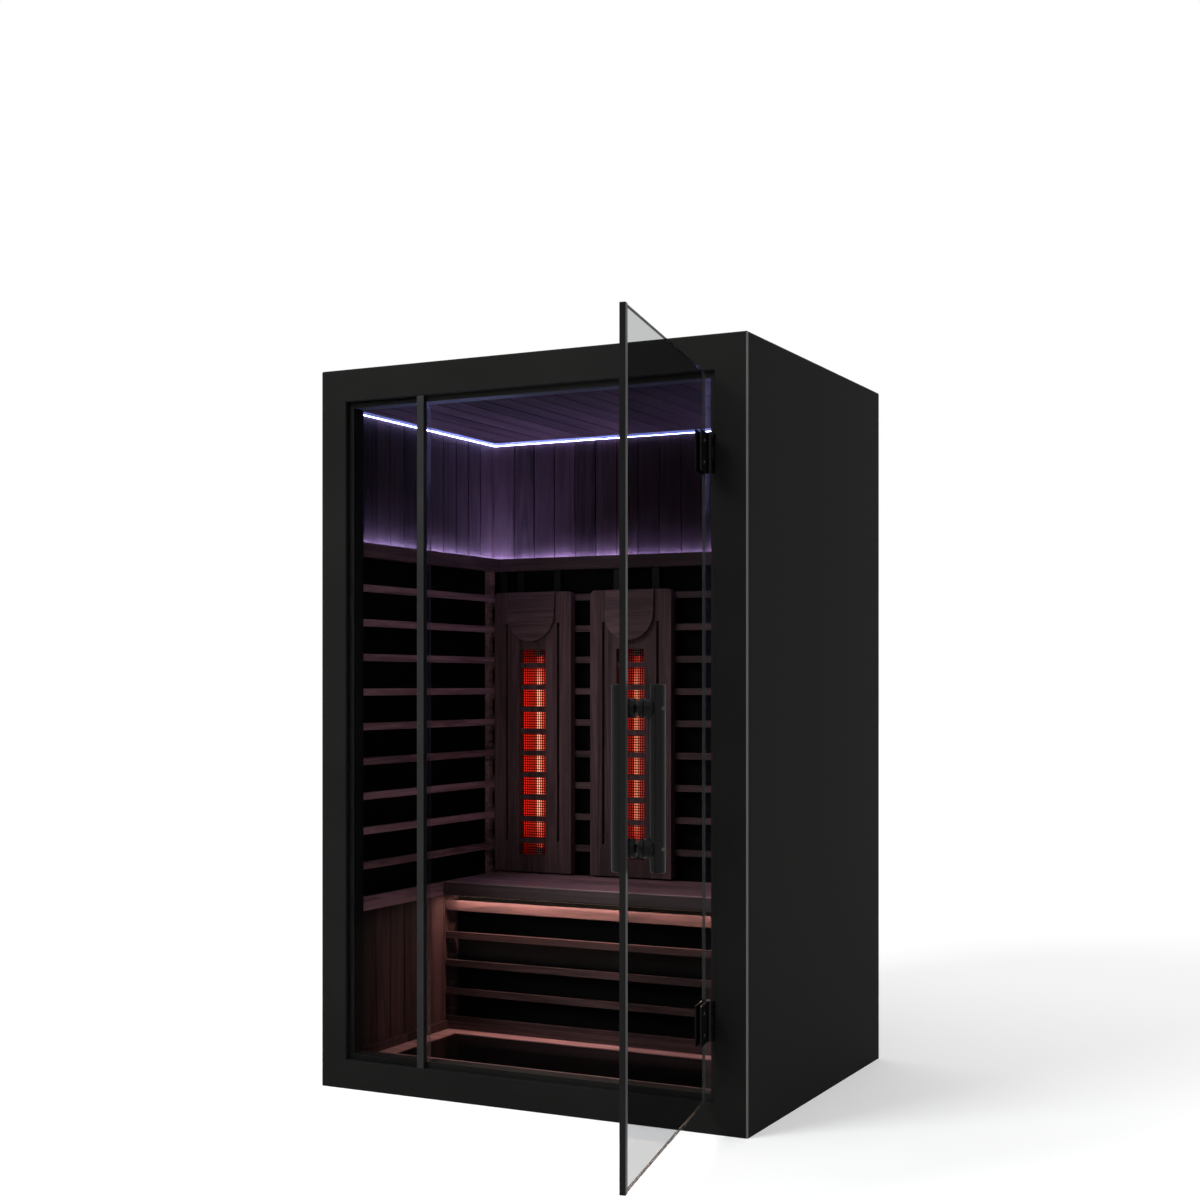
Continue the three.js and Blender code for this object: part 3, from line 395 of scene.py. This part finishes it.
side_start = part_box("left_upper_boards")[0].y
slat_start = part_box("left_guard")[0].z
back_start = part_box("back_upper_boards")[0].x
rest_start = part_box("left_backrest")[0].x
rib_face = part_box("back_guard")[0].y + RIB_DEPTH
side_row = ("y", side_start, BOARD_PITCH)
back_row = ("x", back_start, BOARD_PITCH)
ceiling_row = ("x", CEILING_START, BOARD_PITCH)
slat_row = ("z", slat_start, SLAT_PITCH)
seat_row = ("y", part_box("bench_seat")[0].y, SEAT_STAVE)
rest_row = ("x", rest_start, BACKREST_STAVE)
headrest_row = ("x", rest_start, HEADREST_STAVE)

side_boards = timber("timber_side_boards", "z", side_row, paler=0.33, shine=0.03)
low_boards = timber("timber_low_boards", "z", side_row, paler=0.45, shine=0.05)
back_boards = timber("timber_back_boards", "z", back_row, paler=0.33, shine=0.03)
ceiling = timber("timber_ceiling", "y", ceiling_row, paler=0.3, satin=0.8, shine=0.01)
floor_staves = timber("timber_floor", "x", side_row, paler=3.0)
# The side slats get little direct light, so their stain is set paler: painted light on them.
side_slats = timber("timber_side_slats", "y", slat_row, paler=4.2)
side_rails = timber("timber_side_rails", "y", slat_row, paler=1.5)
back_slats = timber("timber_back_slats", "x", slat_row, paler=1.1, hidden=(rib_face, RIB_REACH))
back_rail = timber("timber_back_rail", "x", slat_row, paler=0.8)
bench_slats = timber("timber_bench_slats", "x", slat_row, paler=0.78)
seat_staves = timber("timber_seat", "x", seat_row, paler=0.55, painted_top_light=4.4, satin=0.34, shine=0.25)
rest_staves = timber("timber_backrest", "z", rest_row, paler=1.25)
# The headrests are painted paler than the backrests, a painted highlight that sets them off.
headrest_wood = timber("timber_headrest", "x", headrest_row, paler=1.5)
print("timber finishes", [m.name for m in bpy.data.materials if m.name.startswith("timber")])

# %% [markdown]
# ## Heaters, metal and plastic
# The wall heaters are matt black panels that drink the light. The floor plate is polished and mirrors
# the slats. Hinges, handles and profiles are powder coated: black, satin, with a fine orange peel.
# Screws are blackened steel, the tube ends are pale ceramic and the plug contacts are brass.

# %% Dark finishes
def coated(name, colour, rough, shine, grain_scale, grain_depth, metallic=0.0):
    f = Finish(name)
    place = f.place()
    grain = f.noise(place, scale=grain_scale, detail=2)
    cloud = f.noise(place, scale=9.0, detail=3)
    colour = Vector(colour)
    shade = f.ramp(cloud, [(0.3, colour * 0.75), (0.7, colour * 1.3)])
    rough = cloud * 0.12 + (rough - 0.06)
    normal = f.bump(grain, strength=0.12, distance=grain_depth)
    values = {"Base_Color": shade, "Roughness": rough, "Metallic": metallic, "Normal": normal}
    return f.done(f.principled(**values, Specular_IOR_Level=shine))


heater_black = coated(
    "heater_panel", (0.0018, 0.0018, 0.0018),
    rough=0.75, shine=0.03, grain_scale=900.0, grain_depth=0.0003,
)
floor_plate = coated(
    "polished_floor_plate", (0.0012, 0.0011, 0.0011),
    rough=0.1, shine=0.08, grain_scale=30.0, grain_depth=0.00005,
)
powder_coat = coated(
    "powder_coat", (0.003, 0.003, 0.003),
    rough=0.34, shine=0.1, grain_scale=1400.0, grain_depth=0.0002,
)
profile_coat = coated(
    "profile_coat", (0.010, 0.0103, 0.010),
    rough=0.36, shine=0.12, grain_scale=1400.0, grain_depth=0.0002,
)
moulded_black = coated(
    "moulded_black", (0.008, 0.008, 0.008),
    rough=0.5, shine=0.3, grain_scale=700.0, grain_depth=0.0003,
)
black_steel = coated(
    "blackened_steel", (0.06, 0.06, 0.062),
    rough=0.35, shine=0.4, grain_scale=1500.0, grain_depth=0.0001, metallic=0.8,
)
ceramic = coated(
    "ceramic_tube_end", (0.42, 0.38, 0.34),
    rough=0.6, shine=0.3, grain_scale=800.0, grain_depth=0.0002,
)
brass = coated(
    "brass_contact", (0.55, 0.40, 0.17),
    rough=0.3, shine=0.5, grain_scale=600.0, grain_depth=0.0001, metallic=1.0,
)
print("coated finishes ready")

# %% [markdown]
# ## Glass and seals
# The panes are 8 mm toughened glass with a little smoke in it. They are thin compared with the cabin,
# so a see-through shader is steadier than true refraction and lets the lights pass. A faint mirror image
# would only add speckle over the dark room, so the pane instead lets less through at flat angles, as
# glass does. The cut edges, found by their direction, are dark green.

# %% Glass finish
GLASS_TINT = tone(0.96, 0.97, 0.97)
GLASS_INDEX = 1.45
SMOKE = 0.1
SMOKE_SHARE = 0.4
EDGE_TONE = tone(0.010, 0.014, 0.013)
EDGE_SHARE = 0.85
SEAL_TINT = tone(0.86, 0.86, 0.88)
SEAL_MILK = tone(0.30, 0.27, 0.29)
SEAL_STREAKS = (90.0, 90.0, 3.0)


def pane_glass(name, across):
    f = Finish(name)
    normal = f.node("ShaderNodeTexCoord", out="Normal")
    flat = abs(f.vector_math("DOT_PRODUCT", normal, across, "Value"))
    clear = f.node("ShaderNodeBsdfTransparent", inputs={"Color": GLASS_TINT})
    smoke = f.node("ShaderNodeBsdfTransparent", inputs={"Color": grey(SMOKE)})
    slant = f.node("ShaderNodeFresnel", inputs={"IOR": GLASS_INDEX})
    face = f.blend(slant * SMOKE_SHARE, clear, smoke)
    cut_edge = f.principled(Base_Color=EDGE_TONE, Roughness=0.25, Specular_IOR_Level=0.3)
    return f.done(f.blend((flat < 0.5) * EDGE_SHARE, face, cut_edge))


def soft_seal():
    f = Finish("clear_seal")
    streak = f.noise(f.vector_math("MULTIPLY", f.place(), SEAL_STREAKS), scale=1.0, detail=3)
    clear = f.node("ShaderNodeBsdfTransparent", inputs={"Color": SEAL_TINT})
    milky = f.node("ShaderNodeBsdfTranslucent", inputs={"Color": SEAL_MILK})
    return f.done(f.blend(streak * 0.14 + 0.02, clear, milky))


hinge = frame["joints"][0]
open_turn = math.radians(-hinge["range_deg"][0])
door_across = (math.sin(open_turn), -math.cos(open_turn), 0.0)
fixed_pane = pane_glass("glass_fixed_pane", (0.0, 1.0, 0.0))
door_pane = pane_glass("glass_door", door_across)
seal_strip = soft_seal()
print("door faces", [round(v, 3) for v in door_across])

# %% [markdown]
# ## Things that glow
# Two cool violet strips, one warm strip and two quartz tubes light the room. They really emit, so the
# glow on the boards comes from the strips and fades with distance. Each strip is a row of diodes under
# a diffuser and throws its light one way: the strips under the ceiling and the seat down, the one behind
# the ledge up. A trace strays to the sides of the first two. The tubes are hottest in the middle and
# dark at their ends. The trays behind them are no lamps: their dull red glow is painted light for the
# tubes' light on them, added to the light they really catch.

# %% Glowing finishes
COOL = tone(0.40, 0.45, 1.0)
WARM = tone(1.0, 0.70, 0.56)
CEILING_STRENGTH = 45.0
LEDGE_STRENGTH = 400.0
BENCH_STRENGTH = 150.0
TUBE_STRENGTH = 2.0
HOT = (1.0, 0.34, 0.17)
CHERRY = (0.62, 0.03, 0.012)
COLD = (0.03, 0.0, 0.0)
COIL_COUNT = 900.0
QUARTZ_TONE = tone(0.2, 0.05, 0.03)
PAINTED_TRAY_GLOW = (1.0, 0.028, 0.012)
PAINTED_TRAY_GLOW_STRENGTH = 0.34
TRAY_TONE = tone(0.75, 0.10, 0.06)
TRAY_BRUSHING = (300.0, 300.0, 6.0)


def light_strip(name, colour, strength, throw, stray):
    f = Finish(name)
    diodes = f.noise(f.place(), scale=55.0, detail=1) * 0.2 + 0.9
    level = (f.facing()[2] * throw > 0.5) | stray
    glow = f.mix(diodes * level, grey(0.0), colour)
    return f.done(f.principled(Base_Color=colour, Emission_Color=glow, Emission_Strength=strength))


def quartz_tube(low, high):
    f = Finish("quartz_tube")
    height = (f.parts(f.place())[2] - low) / (high - low)
    coil = (height * COIL_COUNT).sine() * 0.15 + 0.85
    ends = [(0.03, COLD), (0.11, CHERRY), (0.2, HOT), (0.82, HOT), (0.91, CHERRY), (0.98, COLD)]
    heat = f.ramp(height, ends)
    flank = abs(f.facing()[0])
    cherry = tone(*CHERRY)
    glow = f.mix(flank ** 6.0, f.mix(coil, cherry, heat), cherry)
    glass = {"Base_Color": QUARTZ_TONE, "Roughness": 0.2}
    return f.done(f.principled(**glass, Emission_Color=glow, Emission_Strength=TUBE_STRENGTH))


def reflector():
    f = Finish("tray_reflector")
    brushed = f.noise(f.vector_math("MULTIPLY", f.place(), TRAY_BRUSHING), scale=1.0, detail=3)
    low, high = (corner.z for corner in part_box("left_emitter_tray"))
    height = (f.parts(f.place())[2] - low) / (high - low)
    # The tray gets a painted dull red glow, painted light standing in for the tubes' light on it.
    glow = f.ramp(height, [(0.04, COLD), (0.16, PAINTED_TRAY_GLOW), (0.86, PAINTED_TRAY_GLOW), (0.96, COLD)])
    warm = {"Emission_Color": glow, "Emission_Strength": PAINTED_TRAY_GLOW_STRENGTH}
    rough = brushed * 0.2 + 0.35
    return f.done(f.principled(Base_Color=TRAY_TONE, Roughness=rough, **warm))


ceiling_strip = light_strip("ceiling_strip", COOL, CEILING_STRENGTH, throw=-1.0, stray=0.006)
ledge_strip = light_strip("ledge_strip", COOL, LEDGE_STRENGTH, throw=1.0, stray=0.0)
warm_strip = light_strip("warm_strip", WARM, BENCH_STRENGTH, throw=-1.0, stray=0.002)
tube_low, tube_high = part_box("left_emitter_tube")
tube_glow = quartz_tube(tube_low.z, tube_high.z)
tray_metal = reflector()
print("glow", CEILING_STRENGTH, LEDGE_STRENGTH, BENCH_STRENGTH, TUBE_STRENGTH)

# %% [markdown]
# ## Dress the pieces
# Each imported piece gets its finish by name. Sharp edges look like drawings, so pieces that a maker
# would sand or coat get a small bevel as a modifier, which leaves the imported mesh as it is. The casing
# keeps its own chamfers, because a bevel would draw a groove where two flush panels meet.

# %% Assign finishes
finish_of = {
    casing: ["left_wall", "right_wall", "back_wall", "front_frame", "roof_panel", "base"],
    side_boards: ["left_upper_boards", "right_upper_boards"],
    low_boards: ["left_lower_boards", "right_lower_boards"],
    back_boards: ["back_upper_boards"],
    ceiling: ["ceiling_boards"],
    floor_staves: ["floor_boards"],
    side_slats: ["left_guard", "right_guard"],
    side_rails: ["left_ledge", "right_ledge", "left_bearer", "right_bearer"],
    back_slats: ["back_guard"],
    back_rail: ["back_ledge"],
    bench_slats: ["bench_guard"],
    seat_staves: ["bench_seat"],
    rest_staves: ["left_backrest", "right_backrest"],
    headrest_wood: ["left_headrest", "right_headrest"],
    heater_black: ["left_heater", "right_heater", "back_heater", "bench_heater"],
    floor_plate: ["floor_heater"],
    powder_coat: [
        "power_unit", "outer_handle", "inner_handle", "door_edge_profile",
        "upper_handle_bolt", "lower_handle_bolt", "upper_hinge_leaf", "lower_hinge_leaf",
        "upper_hinge_pin", "lower_hinge_pin", "upper_hinge_clamp", "lower_hinge_clamp",
        "left_emitter_grille", "right_emitter_grille",
    ],
    profile_coat: ["mullion"],
    moulded_black: ["mains_inlet"],
    fixed_pane: ["fixed_glass"],
    door_pane: ["door_glass"],
    seal_strip: ["latch_seal", "hinge_seal"],
    ceiling_strip: ["ceiling_light"],
    ledge_strip: ["ledge_light"],
    warm_strip: ["bench_light"],
    tube_glow: ["left_emitter_tube", "right_emitter_tube"],
    tray_metal: ["left_emitter_tray", "right_emitter_tray"],
}
for finish, names in finish_of.items():
    for name in names:
        nodes[name].data.materials.clear()
        nodes[name].data.materials.append(finish)
dressed = {name for names in finish_of.values() for name in names}
print("dressed", len(dressed), "left over", sorted(set(nodes) - dressed))

# %% Soften edges
BOARD_EDGE = 0.0006
WOOD_EDGE = 0.0013
METAL_EDGE = 0.0007
BEVEL_ANGLE = math.radians(40)


def soften(name, width, segments=2):
    bevel = nodes[name].modifiers.new("soft_edge", "BEVEL")
    bevel.width = width
    bevel.segments = segments
    bevel.limit_method = "ANGLE"
    bevel.angle_limit = BEVEL_ANGLE
    bevel.harden_normals = True


for finish in (side_boards, low_boards, back_boards, ceiling, floor_staves):
    for name in finish_of[finish]:
        soften(name, BOARD_EDGE, 1)
woodwork = [side_slats, side_rails, back_slats, back_rail, bench_slats]
woodwork += [rest_staves, headrest_wood, seat_staves]
for finish in woodwork:
    for name in finish_of[finish]:
        soften(name, WOOD_EDGE)
for name in ("mullion", "door_edge_profile", "upper_hinge_clamp", "lower_hinge_clamp"):
    soften(name, METAL_EDGE)
print("soft edges on", sum(1 for node in nodes.values() if node.modifiers))

# %% [markdown]
# Handles, pins and tubes are turned, so their facets are shaded smooth. Their sharp rims are split, or
# the smooth shading would smear across them.

# %% Smooth turned pieces
RIM_ANGLE = math.radians(32)

turned = ["outer_handle", "inner_handle", "upper_handle_bolt", "lower_handle_bolt"]
turned += ["upper_hinge_pin", "lower_hinge_pin", "left_emitter_tube", "right_emitter_tube"]
for name in turned:
    for polygon in nodes[name].data.polygons:
        polygon.use_smooth = True
    rims = nodes[name].modifiers.new("sharp_rims", "EDGE_SPLIT")
    rims.split_angle = RIM_ANGLE
print("smooth", len(turned), "turned pieces")

# %% [markdown]
# ## Wire screens
# Each emitter lies behind a welded wire screen with square gaps of a few millimetres. The packed
# screen is coarse, so a fine one takes its place: upright wires behind, level wires in front, all in
# one mesh of thin bars.

# %% Wire screens
WIRE_PITCH = 0.0076
WIRE = 0.0027
LAYER = 0.0007


def add_bar(mesh, low, high):
    low, high = Vector(low), Vector(high)
    for vertex in bmesh.ops.create_cube(mesh, size=1.0)["verts"]:
        vertex.co = Vector(low[i] + (vertex.co[i] + 0.5) * (high[i] - low[i]) for i in range(3))


def new_piece(name, mesh, finish, body):
    data = bpy.data.meshes.new(name)
    bmesh.ops.recalc_face_normals(mesh, faces=mesh.faces)
    mesh.to_mesh(data)
    mesh.free()
    data.materials.append(finish)
    piece = bpy.data.objects.new(name, data)
    scene.collection.objects.link(piece)
    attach(piece, body)
    return piece


def wire_screen(side):
    low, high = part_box(f"{side}_emitter_grille")
    mesh = bmesh.new()
    columns = round((high.x - low.x) / WIRE_PITCH)
    rows = round((high.z - low.z) / WIRE_PITCH)
    for i in range(columns + 1):
        x = low.x + (high.x - low.x - WIRE) * i / columns
        add_bar(mesh, (x, low.y + LAYER, low.z), (x + WIRE, low.y + 2 * LAYER, high.z))
    for i in range(rows + 1):
        z = low.z + (high.z - low.z - WIRE) * i / rows
        add_bar(mesh, (low.x, low.y, z), (high.x, low.y + LAYER, z + WIRE))
    screen = new_piece(f"{side}_wire_screen", mesh, powder_coat, "cabin")
    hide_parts(f"{side}_emitter_grille")
    return columns, rows


print("wire screens", [wire_screen(side) for side in ("left", "right")])

# %% [markdown]
# ## Small fittings
# Screws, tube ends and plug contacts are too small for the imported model. A screw head is turned from a
# short profile with a socket in its middle, then set on its face along the face's direction.

# %% Screw heads
ROUND = 20


def add_turned(mesh, place, direction, profile):
    across = Vector(direction).normalized()
    turn = across.to_track_quat("Z", "Y")
    rings = []
    for radius, height in profile:
        ring = []
        for i in range(ROUND):
            angle = 2 * math.pi * i / ROUND
            offset = turn @ Vector((radius * math.cos(angle), radius * math.sin(angle), height))
            ring.append(mesh.verts.new(Vector(place) + offset))
        rings.append(ring)
    for lower, upper in zip(rings, rings[1:]):
        for i in range(ROUND):
            j = (i + 1) % ROUND
            mesh.faces.new((lower[i], lower[j], upper[j], upper[i]))
    mesh.faces.new(rings[0][::-1])
    mesh.faces.new(rings[-1])


def add_screw(mesh, place, direction, radius, height):
    socket = radius * 0.5
    head = [(radius, 0.0), (radius, height * 0.6), (radius * 0.85, height)]
    add_turned(mesh, place, direction, head + [(socket, height), (socket * 0.9, 0.1 * height)])


print("screw maker ready")

# %% Hinge screws
PIN = Vector(hinge["pos_m"])
CLAMP_MIDDLE = 0.041
CLAMP_OUTER = 0.004
CLAMP_INNER = 0.020
SCREW_RISE = 0.026
CLAMP_SCREW = (0.0052, 0.0012)
LEAF_SCREW = (0.0036, 0.0008)
LEAF_SCREW_Y = -0.491
LEAF_THICK = 0.003


def on_door(along, outward, height):
    cos, sin = math.cos(open_turn), math.sin(open_turn)
    return Vector((PIN.x + along * cos - outward * sin, PIN.y + along * sin + outward * cos, height))


for level in ("upper", "lower"):
    low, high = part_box(f"{level}_hinge_clamp")
    middle = (low.z + high.z) / 2
    out = on_door(0, -1, 0) - on_door(0, 0, 0)
    mesh = bmesh.new()
    for rise in (-SCREW_RISE, SCREW_RISE):
        add_screw(mesh, on_door(-CLAMP_MIDDLE, CLAMP_OUTER, middle + rise), out, *CLAMP_SCREW)
        add_screw(mesh, on_door(-CLAMP_MIDDLE, CLAMP_INNER, middle + rise), -out, *CLAMP_SCREW)
    new_piece(f"{level}_clamp_screws", mesh, black_steel, "door")
    leaf_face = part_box(f"{level}_hinge_leaf")[1].x - LEAF_THICK
    mesh = bmesh.new()
    for rise in (-SCREW_RISE, SCREW_RISE):
        add_screw(mesh, (leaf_face, LEAF_SCREW_Y, middle + rise), (-1, 0, 0), *LEAF_SCREW)
    new_piece(f"{level}_leaf_screws", mesh, black_steel, "cabin")
print("hinge screws set around", [round(v, 3) for v in PIN])

# %% Handle screws
HANDLE_ALONG = 0.670
HANDLE_OUT = -0.028
BAR_RADIUS = 0.016
STANDOFF_HEIGHTS = (0.7395, 1.0205)
SCREW_TURN = math.radians(55)
GRUB_SCREW = (0.0034, 0.0008)
GRUB_SINK = 0.0004

mesh = bmesh.new()
toward = on_door(-math.cos(SCREW_TURN), -math.sin(SCREW_TURN), 0) - on_door(0, 0, 0)
for height in STANDOFF_HEIGHTS:
    middle = on_door(-HANDLE_ALONG, HANDLE_OUT, height)
    add_screw(mesh, middle + toward * (BAR_RADIUS - GRUB_SINK), toward, *GRUB_SCREW)
new_piece("handle_grub_screws", mesh, black_steel, "door")
print("handle screws", len(STANDOFF_HEIGHTS))

# %% Tube ends
END_RADIUS = 0.0115
END_LENGTH = 0.024
END_TAPER = 0.002

end_tip = END_RADIUS * 0.8
end_profile = [(end_tip, 0.0), (END_RADIUS, END_TAPER)]
end_profile += [(END_RADIUS, END_LENGTH - END_TAPER), (end_tip, END_LENGTH)]
for side in ("left", "right"):
    low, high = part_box(f"{side}_emitter_tube")
    x, y = (low.x + high.x) / 2, (low.y + high.y) / 2
    mesh = bmesh.new()
    add_turned(mesh, (x, y, low.z), (0, 0, 1), end_profile)
    add_turned(mesh, (x, y, high.z), (0, 0, -1), end_profile)
    new_piece(f"{side}_tube_ends", mesh, ceramic, "cabin")
print("tube ends", END_LENGTH)

# %% Roof fittings
ROOF_SCREW = (0.0055, 0.0012)
ROOF_INSET = 0.04
CONTACT_PLACES = ((-0.008, -0.002), (0.0, 0.002), (0.008, -0.002))
CONTACT_FOOT = 0.016
CONTACT_HALF = Vector((0.001, 0.002, 0.0))
CONTACT_TOP = Vector((0.001, 0.002, 0.011))

low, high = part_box("roof_panel")
mesh = bmesh.new()
for x in (low.x + ROOF_INSET, 0.0, high.x - ROOF_INSET):
    for y in (low.y + ROOF_INSET, high.y - ROOF_INSET):
        add_screw(mesh, (x, y, high.z), (0, 0, 1), *ROOF_SCREW)
new_piece("roof_screws", mesh, black_steel, "cabin")
low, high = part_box("mains_inlet")
middle = (low + high) / 2
mesh = bmesh.new()
for right, back in CONTACT_PLACES:
    foot = Vector((middle.x + right, middle.y + back, high.z - CONTACT_FOOT))
    add_bar(mesh, foot - CONTACT_HALF, foot + CONTACT_TOP)
new_piece("plug_contacts", mesh, brass, "cabin")
print("roof screws and plug contacts")
